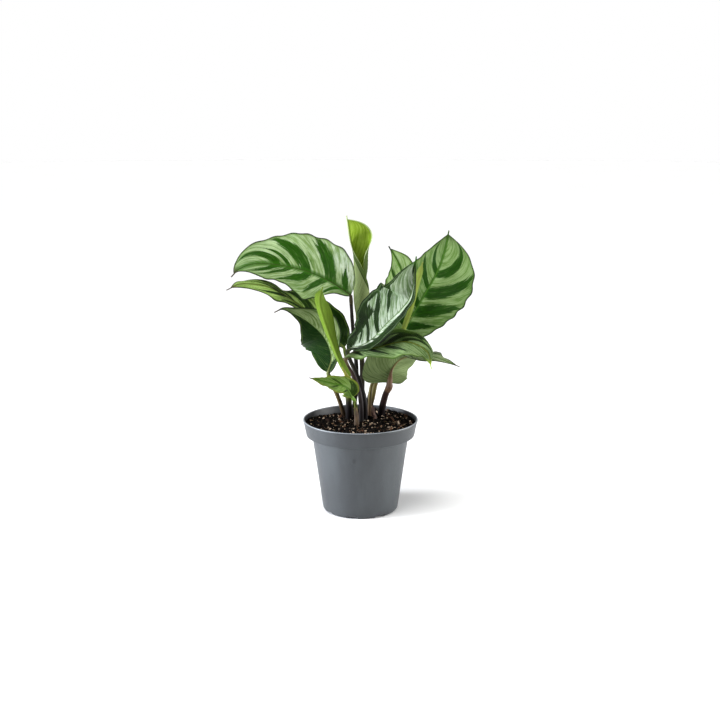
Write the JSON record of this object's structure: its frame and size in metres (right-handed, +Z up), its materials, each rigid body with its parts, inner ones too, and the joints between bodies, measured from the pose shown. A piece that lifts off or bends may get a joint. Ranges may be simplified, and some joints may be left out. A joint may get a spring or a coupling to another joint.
{
  "type": "potted calathea",
  "caption": "Young striped-leaf calathea in a round tapered plastic nursery pot filled with peat soil, its broad leaves and rolled young leaves on slender stalks.",
  "frame": {"origin": "centre of the pot's foot, on the surface it stands on", "axes": "+Z up along the pot's axis, -Y towards the side seen in the picture, +X to the right as seen from there"},
  "size_m": [0.2505, 0.12, 0.3063],
  "materials": {
    "pot_grey": "moulded satin",
    "peat": "crumbly moist peat",
    "leaf_green": "waxy leaf",
    "leaf_deep": "waxy leaf",
    "leaf_pale": "waxy leaf",
    "young_green": "soft young leaf",
    "stalk_dark": "smooth stalk",
    "stalk_brown": "smooth stalk",
    "dry_tan": "dry sheath",
    "dry_brown": "dry sheath"
  },
  "bodies": {
    "root": {"pot": "pot_grey", "soil": "peat", "leaf_left": "leaf_green", "leaf_left_narrow": "leaf_green", "leaf_left_hanging": "leaf_deep", "leaf_young_left": "young_green", "leaf_young_top": "young_green", "leaf_young_right": "young_green", "leaf_centre": "leaf_green", "leaf_right": "leaf_green", "leaf_back": "leaf_pale", "leaf_front_right": "leaf_green", "leaf_right_low": "leaf_pale", "leaf_front_left": "leaf_green", "stalk_left": "stalk_dark", "stalk_left_narrow": "stalk_dark", "stalk_left_hanging": "stalk_brown", "stalk_young_left": "stalk_dark", "stalk_young_top": "stalk_dark", "stalk_young_right": "stalk_brown", "stalk_centre": "stalk_dark", "stalk_right": "stalk_brown", "stalk_back": "stalk_dark", "stalk_front_right": "stalk_dark", "stalk_right_low": "stalk_dark", "stalk_front_left": "stalk_brown", "old_sheath_front": "dry_tan", "old_sheath_right": "dry_brown"}
  },
  "joints": []
}
